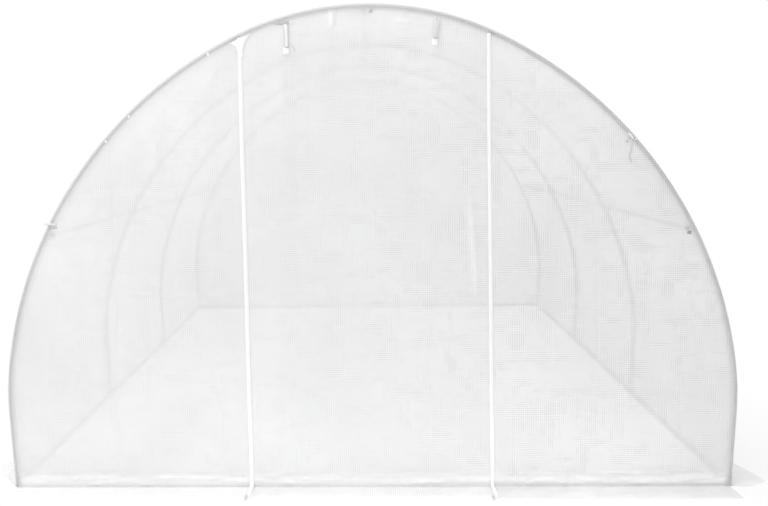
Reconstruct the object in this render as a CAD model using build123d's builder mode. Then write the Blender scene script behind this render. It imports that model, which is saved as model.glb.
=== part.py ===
from build123d import *
from math import cos, degrees, radians, sin, sqrt
import os

# A walk-in tunnel greenhouse: four steel tube hoops under a reinforced film cover.
# Millimetres. +X is the right of someone facing the front end, which looks along -Y.

# Overall sizes, over the film
width = 3000.0
height = 1970.0
length = 4000.0
bays = 3

# Form of the arch: a leaning leg, then knee, shoulder and crown arcs
widest_height = 360.0
leg_lean = 2.7
knee_angle = 8.5
shoulder_angle = 63.0

# Film, and the flap of it that lies on the ground outside
film_thickness = 2.0
skirt_width = 150.0
skirt_gap = 2.0

# Steel tubes, swaged so that one end plugs into the next
hoop_radius = 12.5
purlin_radius = 9.5
tube_wall = 0.8
tube_sides = 12
swage_length = 60.0
plug_clearance = 0.2
seat_clearance = 0.3

# Fittings at the foot of each hoop
fitting_arm = 32.0
fitting_plug = 45.0

# Door between its two zips, and the zips themselves
door_width = 990.0
zip_tape_width = 22.0
zip_tape_thickness = 1.2
zip_chain_width = 5.0
zip_chain_height = 1.4
zip_foot_length = 118.0
slider_length = 18.0
slider_width = 13.0
slider_height = 7.0
pull_length = 24.0
pull_width = 8.0
pull_thickness = 2.0

# Straps that hold the rolled-up door, each with a toggle
strap_width = 16.0
strap_thickness = 1.6
strap_tab_width = 44.0
strap_tab_height = 13.0
left_strap_x = -316.0
right_strap_x = 283.0
left_strap_length = 115.0
right_strap_length = 82.0
strap_drop = 24.0
toggle_width = 23.0
toggle_height = 30.0
toggle_thickness = 7.0
toggle_pocket = 9.0

# The arch's radii follow from its width, height and angles
half_width = width / 2
rise = height - widest_height
sin_knee, cos_knee = sin(radians(knee_angle)), cos(radians(knee_angle))
sin_shoulder, cos_shoulder = sin(radians(shoulder_angle)), cos(radians(shoulder_angle))
across = (1 - cos_knee + cos_shoulder, cos_knee - cos_shoulder)
upward = (sin_knee + 1 - sin_shoulder, sin_shoulder - sin_knee)
determinant = across[0] * upward[1] - across[1] * upward[0]
crown_radius = (half_width * upward[1] - across[1] * rise) / determinant
shoulder_radius = (across[0] * rise - upward[0] * half_width) / determinant
spread = shoulder_radius - crown_radius

# Centre, radius, first and last angle of each arc of the outer face, from the leg up
knee_centre = (half_width - crown_radius, widest_height)
shoulder_centre = (
    knee_centre[0] - spread * cos_knee,
    knee_centre[1] - spread * sin_knee,
)
crown_centre = (0.0, height - crown_radius)
arcs = [
    (knee_centre, crown_radius, -leg_lean, knee_angle),
    (shoulder_centre, shoulder_radius, knee_angle, shoulder_angle),
    (crown_centre, crown_radius, shoulder_angle, 90.0),
]

# A run is a distance along the outer face of the right half, from the ground up
sin_lean, cos_lean = sin(radians(leg_lean)), cos(radians(leg_lean))
leg_run = (knee_centre[1] - crown_radius * sin_lean) / cos_lean
ground_x = knee_centre[0] + crown_radius * cos_lean - leg_run * sin_lean
arc_starts = [leg_run]
for _, radius, first, last in arcs:
    arc_starts.append(arc_starts[-1] + radius * radians(last - first))
half_run = arc_starts[-1]

# Each hoop is five tubes of the same run: two legs, two shoulders and the crown
lower_joint = 2 * half_run / 5
upper_joint = 2 * lower_joint

# Insets from the film's outer face
hoop_inset = film_thickness + seat_clearance + hoop_radius
purlin_inset = hoop_inset + hoop_radius + seat_clearance + purlin_radius
hoop_line = length / 2 - hoop_inset
bay = 2 * hoop_line / bays
stations = [-hoop_line + bay * i for i in range(bays + 1)]


def leg_point(inset, run):
    """Point of the straight leg, on its line continued past both ends."""
    return (
        ground_x + run * sin_lean - inset * cos_lean,
        run * cos_lean + inset * sin_lean,
    )


def leg_run_at(inset, z):
    """Run at which the leg, at an inset, reaches a height."""
    return (z - inset * sin_lean) / cos_lean


def arch_point(inset, run):
    """Point of the right half at a run."""
    if run <= leg_run:
        return leg_point(inset, run)
    i = max(i for i in range(len(arcs)) if run > arc_starts[i])
    centre, radius, first, _ = arcs[i]
    angle = radians(first) + (run - arc_starts[i]) / radius
    reach = radius - inset
    return (centre[0] + reach * cos(angle), centre[1] + reach * sin(angle))


def draw_arch(inset, low, high):
    """Draw the right half upward from one run to another."""
    if low < leg_run:
        Line(leg_point(inset, low), leg_point(inset, min(high, leg_run)))
    for i, (centre, radius, first, _) in enumerate(arcs):
        start = max(low, arc_starts[i])
        end = min(high, arc_starts[i + 1])
        if end > start:
            turned = degrees((start - arc_starts[i]) / radius)
            turn = degrees((end - start) / radius)
            CenterArc(centre, radius - inset, first + turned, turn)


def height_over(inset, x):
    """Height of the arch over a distance from the middle."""
    for centre, radius, _, last in arcs:
        reach = radius - inset
        if x >= centre[0] + reach * cos(radians(last)):
            break
    return centre[1] + sqrt(reach**2 - (x - centre[0]) ** 2)


foot_z = hoop_radius
foot_run = leg_run_at(hoop_inset, foot_z)
foot_x = leg_point(hoop_inset, foot_run)[0]
film_foot_run = film_thickness / cos_lean
film_foot_x = leg_point(film_thickness, leg_run_at(film_thickness, film_thickness))[0]
socket_radius = hoop_radius - tube_wall
neck_radius = socket_radius - plug_clearance
neck_length = swage_length - plug_clearance


def save(piece, name):
    """Label a finished sub-part and write its file."""
    piece.label = name
    export_step(piece, f"parts/{name}.step")


os.makedirs("parts", exist_ok=True)


def round_section(radius, mode=Mode.ADD):
    """Section of a tube or its bore, drawn with a few flat sides."""
    RegularPolygon(radius, tube_sides, mode=mode)


# Hoops: a leg, a shoulder and half of the crown tube on each side
def bent_rod(radius, low, high):
    """A rod along the hoop's right half from one run to another."""
    with BuildPart() as rod:
        with BuildLine(Plane.XZ) as path:
            draw_arch(hoop_inset, low, high)
        with BuildSketch(path.line ^ 0):
            round_section(radius)
        sweep(path=path.line)
    return rod.part


def in_row(piece, mirrored=False):
    """Like pieces on every hoop."""
    with BuildPart() as row:
        with Locations(*[(0, y, 0) for y in stations]):
            add(mirror(piece, about=Plane.YZ, mode=Mode.PRIVATE) if mirrored else piece)
    return row.part


leg_foot = foot_run + fitting_arm

with BuildPart() as leg:
    add(bent_rod(hoop_radius, leg_foot, lower_joint))
    add(bent_rod(socket_radius, leg_foot, leg_foot + swage_length), mode=Mode.SUBTRACT)
    add(bent_rod(socket_radius, lower_joint - swage_length, lower_joint), mode=Mode.SUBTRACT)

with BuildPart() as shoulder:
    add(bent_rod(hoop_radius, lower_joint, upper_joint))
    add(bent_rod(neck_radius, lower_joint - neck_length, lower_joint))
    add(bent_rod(socket_radius, upper_joint - swage_length, upper_joint), mode=Mode.SUBTRACT)

with BuildPart() as crown:
    add(bent_rod(hoop_radius, upper_joint, half_run))
    add(bent_rod(neck_radius, upper_joint - neck_length, upper_joint))
    mirror(about=Plane.YZ)

save(in_row(leg.part), "right_legs")
save(in_row(leg.part, mirrored=True), "left_legs")
save(in_row(shoulder.part), "right_shoulder_tubes")
save(in_row(shoulder.part, mirrored=True), "left_shoulder_tubes")
save(in_row(crown.part), "crown_tubes")


# Straight tubes: purlins and ground rails
def straight_tube(radius, span, socket_foot=False, socket_head=False, neck=False):
    """A tube along +Z from the origin, with sockets or a neck at its ends."""
    bore = radius - tube_wall
    with BuildPart() as tube:
        with BuildSketch():
            round_section(radius)
        extrude(amount=span)
        if socket_foot:
            with BuildSketch():
                round_section(bore)
            extrude(amount=swage_length, mode=Mode.SUBTRACT)
        if socket_head:
            with BuildSketch(Plane.XY.offset(span)):
                round_section(bore)
            extrude(amount=-swage_length, mode=Mode.SUBTRACT)
        if neck:
            with BuildSketch(Plane.XY.offset(span)):
                round_section(bore - plug_clearance)
            extrude(amount=neck_length)
    return tube.part


purlin_end = length / 2 - film_thickness - seat_clearance
purlin_joints = [-purlin_end, *stations[1:-1], purlin_end]


def purlin(x, z):
    """One line of purlin tubes along the house, a tube to each bay."""
    with BuildPart() as line:
        for i, (start, end) in enumerate(zip(purlin_joints, purlin_joints[1:])):
            last = i == bays - 1
            span = end - start - (0 if last else seat_clearance)
            with Locations(Location((x, start, z), (-90, 0, 0))):
                add(straight_tube(purlin_radius, span, socket_foot=i > 0, neck=not last))
    return line.part


side_x, side_z = arch_point(purlin_inset, lower_joint)
save(purlin(0, height - purlin_inset), "ridge_purlin")
save(purlin(-side_x, side_z), "left_purlin")
save(purlin(side_x, side_z), "right_purlin")


def side_rail(x):
    """Ground rail along one side, a tube between each pair of foot fittings."""
    tube = straight_tube(hoop_radius, bay - 2 * fitting_arm, socket_foot=True, socket_head=True)
    with BuildPart() as rail:
        with Locations(*[Location((x, y + fitting_arm, foot_z), (-90, 0, 0)) for y in stations[:-1]]):
            add(tube)
    return rail.part


def end_rail(y):
    """Ground rail across one end, in two tubes that meet in the middle."""
    span = foot_x - fitting_arm
    with BuildPart() as rail:
        with Locations(Location((-span, y, foot_z), (0, 90, 0))):
            add(straight_tube(hoop_radius, span - seat_clearance, socket_foot=True, neck=True))
        with Locations(Location((span, y, foot_z), (0, -90, 0))):
            add(straight_tube(hoop_radius, span, socket_foot=True, socket_head=True))
    return rail.part


save(side_rail(-foot_x), "left_ground_rail")
save(side_rail(foot_x), "right_ground_rail")
save(end_rail(-hoop_line), "front_ground_rail")
save(end_rail(hoop_line), "rear_ground_rail")

# Foot fittings: a post on the ground with an arm for each rail, and a plug in each tube
leg_axis = Vector(sin_lean, 0, cos_lean)


def fitting_rod(way, radius, start, end):
    """A rod of a foot fitting, along a line through the leg's foot."""
    foot = Vector(foot_x, 0, foot_z)
    with BuildPart() as rod:
        with BuildSketch(Plane(origin=foot + Vector(way) * start, z_dir=way)):
            round_section(radius)
        extrude(amount=end - start)
    return rod.part


def foot_fitting(ways):
    """A fitting at the foot of a right-hand leg, with a rail arm along each way."""
    below = -2 * hoop_radius
    with BuildPart() as fitting:
        add(fitting_rod(leg_axis, hoop_radius, below, fitting_arm))
        add(fitting_rod(leg_axis, neck_radius, 0, fitting_arm + fitting_plug))
        for way in ways:
            add(fitting_rod(way, hoop_radius, 0, fitting_arm))
            add(fitting_rod(way, neck_radius, 0, fitting_arm + fitting_plug))
        split(bisect_by=Plane.XY, keep=Keep.TOP)
    return fitting.part


right_corner = foot_fitting([(0, 1, 0), (-1, 0, 0)])
right_tee = foot_fitting([(0, 1, 0), (0, -1, 0)])

with BuildPart() as corner_fittings:
    with Locations((0, -hoop_line, 0)):
        add(right_corner)
    mirror(about=Plane.YZ)
    mirror(about=Plane.XZ)

with BuildPart() as tee_fittings:
    with Locations(*[(0, y, 0) for y in stations[1:-1]]):
        add(right_tee)
    mirror(about=Plane.YZ)

save(corner_fittings.part, "corner_fittings")
save(tee_fittings.part, "tee_fittings")

# Barrel of the cover: six lengthwise widths of film on each side, of equal runs
widths = [
    "wall_lower_film",
    "wall_upper_film",
    "shoulder_lower_film",
    "shoulder_upper_film",
    "roof_lower_film",
    "roof_upper_film",
]
width_run = half_run / len(widths)


def film_width(low, high):
    """A width of film over the right half, as long as the hoops stand apart."""
    with BuildPart() as strip:
        with BuildSketch(Plane.XZ):
            with BuildLine():
                draw_arch(0, low, high)
                draw_arch(film_thickness, low, high)
                for run in (low, high):
                    Line(arch_point(0, run), arch_point(film_thickness, run))
            make_face()
        extrude(amount=hoop_line, both=True)
    return strip.part


for i, name in enumerate(widths):
    strip = film_width(max(film_foot_run, i * width_run), (i + 1) * width_run)
    save(strip, f"right_{name}")
    save(mirror(strip, about=Plane.YZ), f"left_{name}")


# Rounded edge of the cover, where film turns over the end hoops
def edge_wrap():
    """A quarter of a tube of film round the front hoop, cut level above the skirts."""
    inner = hoop_radius + seat_clearance
    outer = inner + film_thickness
    with BuildPart() as wrap:
        with BuildLine(Plane.XZ.offset(hoop_line)) as path:
            draw_arch(hoop_inset, -2 * hoop_radius, half_run)
        outward = Vector(cos_lean, 0, -sin_lean)
        with BuildSketch(Plane(origin=path.line @ 0, x_dir=outward, z_dir=-leg_axis)):
            round_section(outer)
            round_section(inner, mode=Mode.SUBTRACT)
            Rectangle(outer, outer, align=(Align.MIN, Align.MIN), mode=Mode.INTERSECT)
        sweep(path=path.line)
        split(bisect_by=Plane.XY.offset(film_thickness), keep=Keep.TOP)
        mirror(about=Plane.YZ)
    return wrap.part


front_wrap = edge_wrap()
save(front_wrap, "front_edge_film")
save(mirror(front_wrap, about=Plane.XZ), "rear_edge_film")

# End walls: a side panel, the door panel and a side panel, parted by the zips
zip_x = door_width / 2
zip_gap = zip_chain_width / 2 + seat_clearance
front_face = -length / 2
panel_foot_run = leg_run_at(hoop_inset, film_thickness)
panel_foot_x = leg_point(hoop_inset, panel_foot_run)[0]


def end_panel(low_x, high_x):
    """The part of the front wall between two distances from the middle."""
    with BuildPart() as panel:
        with BuildSketch(Plane.XZ.offset(-front_face)):
            with BuildLine():
                draw_arch(hoop_inset, panel_foot_run, half_run)
                mirror(about=Plane.YZ)
                Line((-panel_foot_x, film_thickness), (panel_foot_x, film_thickness))
            make_face()
            with Locations(((low_x + high_x) / 2, 0)):
                Rectangle(
                    high_x - low_x,
                    height,
                    align=(Align.CENTER, Align.MIN),
                    mode=Mode.INTERSECT,
                )
        extrude(amount=-film_thickness)
    return panel.part


panels = {
    "left_panel": (-half_width, -zip_x - zip_gap),
    "door_panel": (-zip_x + zip_gap, zip_x - zip_gap),
    "right_panel": (zip_x + zip_gap, half_width),
}
for name, (low_x, high_x) in panels.items():
    panel = end_panel(low_x, high_x)
    save(panel, f"front_{name}")
    save(mirror(panel, about=Plane.XZ), f"rear_{name}")


# Skirts: the film's loose lower edge, laid outward on the ground
def flap(low_x, high_x, low_y, high_y):
    """A flat piece of film on the ground."""
    with Locations((low_x, low_y, 0)):
        Box(high_x - low_x, high_y - low_y, film_thickness, align=(Align.MIN, Align.MIN, Align.MIN))


end_reach = film_foot_x - skirt_gap
skirt_runs = [
    (-end_reach, -zip_x - zip_gap),
    (-zip_x + zip_gap, zip_x - zip_gap),
    (zip_x + zip_gap, end_reach),
]
with BuildPart() as front_skirt:
    for low_x, high_x in skirt_runs:
        flap(low_x, high_x, front_face - skirt_width, front_face + film_thickness)

with BuildPart() as right_skirt:
    flap(film_foot_x, film_foot_x + film_thickness + skirt_width, front_face, -front_face)

save(front_skirt.part, "front_skirt")
save(mirror(front_skirt.part, about=Plane.XZ), "rear_skirt")
save(right_skirt.part, "right_skirt")
save(mirror(right_skirt.part, about=Plane.YZ), "left_skirt")

# Zips: tape on the film with its chain between the panels, turned out over the skirt
zip_head = height_over(hoop_inset, zip_x + zip_tape_width / 2)
chain_face = front_face - zip_tape_thickness - zip_chain_height
chain_foot = front_face - zip_foot_length + slider_length

with BuildPart() as front_right_zip:
    with BuildSketch(Plane.YZ.offset(zip_x)):
        with BuildLine():
            Polyline(
                (front_face, zip_head),
                (front_face, film_thickness),
                (front_face - zip_foot_length, film_thickness),
                (front_face - zip_foot_length, film_thickness + zip_tape_thickness),
                (front_face - zip_tape_thickness, film_thickness + zip_tape_thickness),
                (front_face - zip_tape_thickness, zip_head),
                close=True,
            )
        make_face()
    extrude(amount=zip_tape_width / 2, both=True)
    with BuildSketch(Plane.YZ.offset(zip_x)):
        with BuildLine():
            Polyline(
                (front_face + film_thickness, zip_head),
                (front_face + film_thickness, seat_clearance),
                (chain_foot, seat_clearance),
                (chain_foot, film_thickness + zip_tape_thickness + zip_chain_height),
                (chain_face, film_thickness + zip_tape_thickness + zip_chain_height),
                (chain_face, zip_head),
                close=True,
            )
        make_face()
    extrude(amount=zip_chain_width / 2, both=True)

save(front_right_zip.part, "front_right_zip")
save(mirror(front_right_zip.part, about=Plane.YZ), "front_left_zip")
save(mirror(front_right_zip.part, about=Plane.XZ), "rear_right_zip")
save(mirror(mirror(front_right_zip.part, about=Plane.YZ), about=Plane.XZ), "rear_left_zip")

# Sliders: each closed at the outer end of its zip, with a pull lying on the skirt
slider_foot = film_thickness + zip_tape_thickness
with BuildPart() as zip_sliders:
    with Locations((zip_x, front_face - zip_foot_length, slider_foot)):
        Box(
            slider_width,
            slider_length,
            slider_height,
            align=(Align.CENTER, Align.MIN, Align.MIN),
        )
    chamfer(zip_sliders.edges().filter_by(Axis.Z), slider_width / 4)
    chamfer(zip_sliders.faces().sort_by(Axis.Z)[-1].edges(), slider_height / 5)
    with Locations((zip_x, front_face - zip_foot_length + slider_length / 2, slider_foot)):
        Box(
            pull_width,
            slider_length / 2 + pull_length,
            pull_thickness,
            align=(Align.CENTER, Align.MAX, Align.MIN),
        )
    mirror(about=Plane.YZ)
    mirror(about=Plane.XZ)
save(zip_sliders.part, "zip_sliders")

# Straps and toggles that hold the door when it is rolled up
straps = [(left_strap_x, left_strap_length), (right_strap_x, right_strap_length)]


def strap_head(x):
    """Height of the top of a strap, just under the front hoop."""
    return height_over(hoop_inset, abs(x) + strap_tab_width / 2) - strap_drop


with BuildPart() as roll_up_straps:
    for x, hang in straps:
        with BuildSketch(Plane.XZ.offset(-front_face)):
            with Locations((x, strap_head(x))):
                Rectangle(strap_width, hang, align=(Align.CENTER, Align.MAX))
                Rectangle(strap_tab_width, strap_tab_height, align=(Align.CENTER, Align.MAX))
        extrude(amount=strap_thickness)

with BuildPart() as strap_toggles:
    for x, hang in straps:
        foot = strap_head(x) - hang
        with BuildSketch(Plane.XZ.offset(-front_face)):
            with Locations((x, foot + toggle_pocket)):
                Rectangle(toggle_width, toggle_height, align=(Align.CENTER, Align.MAX))
        extrude(amount=toggle_thickness)
    chamfer(strap_toggles.edges().filter_by(Axis.Y), toggle_width / 6)
    for x, hang in straps:
        foot = strap_head(x) - hang - seat_clearance
        with BuildSketch(Plane.XZ.offset(-front_face)):
            with Locations((x, foot)):
                Rectangle(
                    strap_width + 2 * seat_clearance,
                    2 * toggle_pocket,
                    align=(Align.CENTER, Align.MIN),
                )
        extrude(amount=strap_thickness + seat_clearance, mode=Mode.SUBTRACT)

save(roll_up_straps.part, "roll_up_straps")
save(strap_toggles.part, "strap_toggles")
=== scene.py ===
"""Looks of the walk-in tunnel greenhouse: film sheets, seams, zips, straps, tubes, floor, light and camera.

Metres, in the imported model's frame: the front end looks along -Y and the ground is z = 0.
"""

from math import cos, hypot, pi, radians, sin

import bpy
import numpy as np
from mathutils import Matrix, Vector


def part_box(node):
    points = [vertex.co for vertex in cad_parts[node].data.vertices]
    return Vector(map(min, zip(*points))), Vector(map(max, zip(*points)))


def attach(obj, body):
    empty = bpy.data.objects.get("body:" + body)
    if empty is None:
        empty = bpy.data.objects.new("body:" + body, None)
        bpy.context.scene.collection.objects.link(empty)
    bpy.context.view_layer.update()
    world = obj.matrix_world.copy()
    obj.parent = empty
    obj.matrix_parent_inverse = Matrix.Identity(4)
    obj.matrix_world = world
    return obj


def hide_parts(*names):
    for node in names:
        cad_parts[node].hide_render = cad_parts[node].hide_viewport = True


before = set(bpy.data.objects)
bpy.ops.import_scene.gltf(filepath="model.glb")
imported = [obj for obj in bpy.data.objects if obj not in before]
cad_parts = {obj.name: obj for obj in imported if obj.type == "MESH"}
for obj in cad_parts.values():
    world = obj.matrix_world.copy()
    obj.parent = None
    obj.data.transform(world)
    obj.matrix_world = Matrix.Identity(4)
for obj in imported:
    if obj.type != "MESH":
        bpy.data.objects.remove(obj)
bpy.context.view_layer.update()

# Camera, as fitted to the outline in the photograph
IMAGE_WIDTH = 768
FOCAL_PIXELS = 868.0
SENSOR_WIDTH = 36.0
CAMERA_PLACE = (0.004, -5.485, 1.412)
CAMERA_YAW = -1.849
CAMERA_PITCH = 4.932
CAMERA_ROLL = -0.820
CAMERA_SHIFT_PIXELS = (45.0, -33.2)

# Form of the arch, as in the model: a leaning leg, then knee, shoulder and crown arcs
WIDEST_HEIGHT = 0.36
LEG_LEAN = radians(2.7)
KNEE_ANGLE = radians(8.5)
SHOULDER_ANGLE = radians(63.0)
FILM = 0.002
SEAT = 0.0003
HOOP_RADIUS = 0.0125
PURLIN_RADIUS = 0.0095
SKIRT_WIDTH = 0.15
DOOR_WIDTH = 0.99
BAYS = 3

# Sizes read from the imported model
edge_low, edge_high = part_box("front_edge_film")
HALF_WIDTH = edge_high.x
HEIGHT = edge_high.z
HALF_LENGTH = -edge_low.y
HOOP_INSET = FILM + SEAT + HOOP_RADIUS
HOOP_LINE = HALF_LENGTH - HOOP_INSET
BAY = 2 * HOOP_LINE / BAYS
STATIONS = [-HOOP_LINE + BAY * i for i in range(BAYS + 1)]
PURLIN_INSET = HOOP_INSET + HOOP_RADIUS + SEAT + PURLIN_RADIUS
ZIP_X = DOOR_WIDTH / 2
RING_EDGE = 0.0132
END_NAMES = {-1: "front", 1: "rear"}

# The film's lift off the ground, and how finely the arch is sampled
FILM_LIFT = 0.0022
ARCH_SAMPLES = 1600


def solve_arch():
    """The centre, radius, first and last angle of the knee, shoulder and crown arcs."""
    sin_knee, cos_knee = sin(KNEE_ANGLE), cos(KNEE_ANGLE)
    sin_shoulder, cos_shoulder = sin(SHOULDER_ANGLE), cos(SHOULDER_ANGLE)
    sides = np.array([
        [1 - cos_knee + cos_shoulder, cos_knee - cos_shoulder],
        [sin_knee + 1 - sin_shoulder, sin_shoulder - sin_knee],
    ])
    crown, shoulder = np.linalg.solve(sides, [HALF_WIDTH, HEIGHT - WIDEST_HEIGHT])
    knee_centre = (HALF_WIDTH - crown, WIDEST_HEIGHT)
    spread = shoulder - crown
    shoulder_centre = (knee_centre[0] - spread * cos_knee, knee_centre[1] - spread * sin_knee)
    return [
        (knee_centre, crown, -LEG_LEAN, KNEE_ANGLE),
        (shoulder_centre, shoulder, KNEE_ANGLE, SHOULDER_ANGLE),
        ((0.0, HEIGHT - crown), crown, SHOULDER_ANGLE, pi / 2),
    ]


ARCS = solve_arch()
SIN_LEAN, COS_LEAN = sin(LEG_LEAN), cos(LEG_LEAN)
LEG_RUN = (WIDEST_HEIGHT - ARCS[0][1] * SIN_LEAN) / COS_LEAN
GROUND_X = ARCS[0][0][0] + ARCS[0][1] * COS_LEAN - LEG_RUN * SIN_LEAN
ARC_STARTS = [LEG_RUN]
for _, arc_radius, first_angle, last_angle in ARCS:
    ARC_STARTS.append(ARC_STARTS[-1] + arc_radius * (last_angle - first_angle))
HALF_RUN = ARC_STARTS[-1]
LOWER_JOINT = 2 * HALF_RUN / 5


def arch(across, inset):
    """Points and outward normals of the arch, by distance from the ridge (left is minus) and inset."""
    across, inset = np.broadcast_arrays(np.asarray(across, float), np.asarray(inset, float))
    side = np.where(across < 0, -1.0, 1.0)
    run = HALF_RUN - abs(across)
    angle = np.full(run.shape, -LEG_LEAN)
    x = GROUND_X + run * SIN_LEAN - inset * COS_LEAN
    z = run * COS_LEAN + inset * SIN_LEAN
    for (centre, radius, first, _), start in zip(ARCS, ARC_STARTS):
        here = run > start
        turned = first + (run - start) / radius
        angle = np.where(here, turned, angle)
        x = np.where(here, centre[0] + (radius - inset) * np.cos(turned), x)
        z = np.where(here, centre[1] + (radius - inset) * np.sin(turned), z)
    return side * x, z, side * np.cos(angle), np.sin(angle)


def arch_samples(inset, first=0.0):
    """Runs up one side of the arch, with their distances out and their heights."""
    runs = np.linspace(first, HALF_RUN, ARCH_SAMPLES)
    out, height, _, _ = arch(HALF_RUN - runs, inset)
    return runs, out, height


def half_width_at(z):
    """How far out the arch stands at a height."""
    _, out, height = arch_samples(RING_EDGE)
    return np.interp(z, height, out)


def height_over(x, inset=RING_EDGE):
    """Height of the arch over a distance from the middle."""
    _, out, height = arch_samples(inset, LEG_RUN)
    return np.interp(-abs(x), -out, height)


def across_at(z, side):
    """Distance from the ridge of the place where the arch has a height."""
    runs, _, height = arch_samples(0.0)
    return side * (HALF_RUN - float(np.interp(z, height, runs)))


# Smooth noise and masks, the same on each run
LATTICE = np.random.default_rng(11).uniform(-1, 1, (64, 64))


def wander(u, v, seed):
    """Smooth noise between -1 and 1, with a swell about every unit."""
    u = np.asarray(u, float) + seed * 7.31
    v = np.asarray(v, float) + seed * 3.17
    i, j = np.floor(u).astype(int), np.floor(v).astype(int)
    fu, fv = u - i, v - j
    fu, fv = fu * fu * (3 - 2 * fu), fv * fv * (3 - 2 * fv)
    left, right, low, high = i % 64, (i + 1) % 64, j % 64, (j + 1) % 64
    below = LATTICE[left, low] * (1 - fu) + LATTICE[right, low] * fu
    above = LATTICE[left, high] * (1 - fu) + LATTICE[right, high] * fu
    return below * (1 - fv) + above * fv


def ease(value, low, high):
    """0 below low, 1 above high, smooth between."""
    t = np.clip((value - low) / (high - low), 0, 1)
    return t * t * (3 - 2 * t)


def ridge(distance, width):
    """A soft ridge along a line."""
    return np.exp(-((distance / width) ** 2))


# Mesh helpers
def new_object(name, data):
    item = bpy.data.objects.new(name, data)
    bpy.context.scene.collection.objects.link(item)
    return item


def new_piece(name, vertices, faces, material, slot, uvs=None, clear=None, smooth=True):
    """A piece that rides on the greenhouse, with its UVs in metres and how clear its film looks."""
    mesh = bpy.data.meshes.new(name)
    mesh.from_pydata([tuple(v) for v in vertices], [], faces)
    if uvs is not None:
        layer = mesh.uv_layers.new(name="weave")
        corner = np.zeros(len(mesh.loops), int)
        mesh.loops.foreach_get("vertex_index", corner)
        layer.data.foreach_set("uv", np.asarray(uvs, np.float32)[corner].ravel())
    if clear is not None:
        layer = mesh.attributes.new("see_through", "FLOAT", "POINT")
        layer.data.foreach_set("value", np.asarray(clear, np.float32).ravel())
    mesh.polygons.foreach_set("use_smooth", [smooth] * len(mesh.polygons))
    mesh.materials.append(material)
    mesh.update()
    piece = new_object(name, mesh)
    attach(piece, "root")
    return piece


def grid_faces(rows, columns, closed=False):
    """Quads of a grid. A closed one joins its last column to its first."""
    i, j = np.meshgrid(np.arange(rows - 1), np.arange(columns if closed else columns - 1), indexing="ij")
    a = (i * columns + j).ravel()
    b = (i * columns + (j + 1) % columns).ravel()
    return np.stack([a, b, b + columns, a + columns], axis=1).tolist()


def tube_faces(rings, sides):
    """Faces of a row of rings, closed at both ends."""
    faces = grid_faces(rings, sides, closed=True)
    last = (rings - 1) * sides
    faces.append(list(range(sides))[::-1])
    faces.append([last + k for k in range(sides)])
    return faces


def join_parts(parts):
    """Vertices and faces of several parts as one list of each."""
    vertices, faces, count = [], [], 0
    for part_vertices, part_faces in parts:
        vertices.extend(part_vertices)
        faces.extend([[k + count for k in face] for face in part_faces])
        count += len(part_vertices)
    return vertices, faces


def ring_places(rings, sides):
    """The number of each ring, and the angle of each place on a ring."""
    return np.arange(rings)[:, None], 2 * pi * np.arange(sides)[None, :] / sides


def grid_points(x, y, z, centre=(0, 0, 0)):
    return (np.stack(np.broadcast_arrays(x, y, z), axis=-1) + centre).reshape(-1, 3)


def repeated(direction, count):
    return np.broadcast_to(np.array(direction, float), (count, 3))


# Material helpers
def nodes_of(name):
    material = bpy.data.materials.new(name)
    material.use_nodes = True
    tree = material.node_tree
    tree.nodes.clear()
    return material, tree


def add_node(tree, kind, **values):
    """A node: lower-case names are its settings, i0 and on its sockets by number, others by name."""
    node = tree.nodes.new(f"ShaderNode{kind}")
    for key, value in values.items():
        numbered = key[0] == "i" and key[1:].isdigit()
        if key[0].islower() and not numbered:
            setattr(node, key, value)
            continue
        socket = node.inputs[int(key[1:])] if numbered else node.inputs[key]
        if isinstance(value, bpy.types.NodeSocket):
            tree.links.new(value, socket)
        else:
            socket.default_value = value
    return node


def math_node(tree, operation, a, b=0.0):
    return add_node(tree, "Math", operation=operation, i0=a, i1=b).outputs[0]


def times(tree, a, b):
    return math_node(tree, "MULTIPLY", a, b)


def map_range(tree, value, from_low, from_high, to_low, to_high):
    node = add_node(tree, "MapRange", i0=value, i1=from_low, i2=from_high, i3=to_low, i4=to_high)
    return node.outputs[0]


def mix_colour(tree, factor, a, b):
    return add_node(tree, "Mix", data_type="RGBA", i0=factor, i6=a, i7=b).outputs[2]


def mix_shaders(tree, share, a, b):
    return add_node(tree, "MixShader", i0=share, i1=a.outputs[0], i2=b.outputs[0])


def noise_of(tree, vector, scale, detail, roughness):
    node = add_node(tree, "TexNoise", Vector=vector, Scale=scale, Detail=detail, Roughness=roughness)
    return node.outputs["Fac"]


def bump_of(tree, height, strength, distance):
    return add_node(tree, "Bump", Strength=strength, Distance=distance, Height=height).outputs[0]


def principled(tree, colour, roughness, **inputs):
    return add_node(tree, "BsdfPrincipled", **{"Base Color": colour}, Roughness=roughness, **inputs)


def object_place(tree):
    return add_node(tree, "TexCoord").outputs["Object"]


def split_of(tree, vector):
    return add_node(tree, "SeparateXYZ", i0=vector).outputs


def show(tree, shader, output="OutputMaterial"):
    add_node(tree, output, Surface=shader.outputs[0])


def grey(value, tint=0.0):
    """A grey, slightly blue where tint is above 0."""
    return (value - tint, value, value + tint, 1.0)


# The film's grid of white strands
WEAVE_PITCH = 0.0086
STRAND_WIDTH = 0.0016


def strand_mask(tree, place, patches):
    """White strands at an even pitch along one direction, showing in patches only."""
    cell = math_node(tree, "FRACT", times(tree, place, 1 / WEAVE_PITCH))
    middle = math_node(tree, "ABSOLUTE", math_node(tree, "SUBTRACT", cell, 0.5))
    half_strand = STRAND_WIDTH / WEAVE_PITCH / 2
    strand = map_range(tree, middle, 0.5 - 1.5 * half_strand, 0.5 - 0.5 * half_strand, 0.0, 1.0)
    return times(tree, strand, patches)


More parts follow.
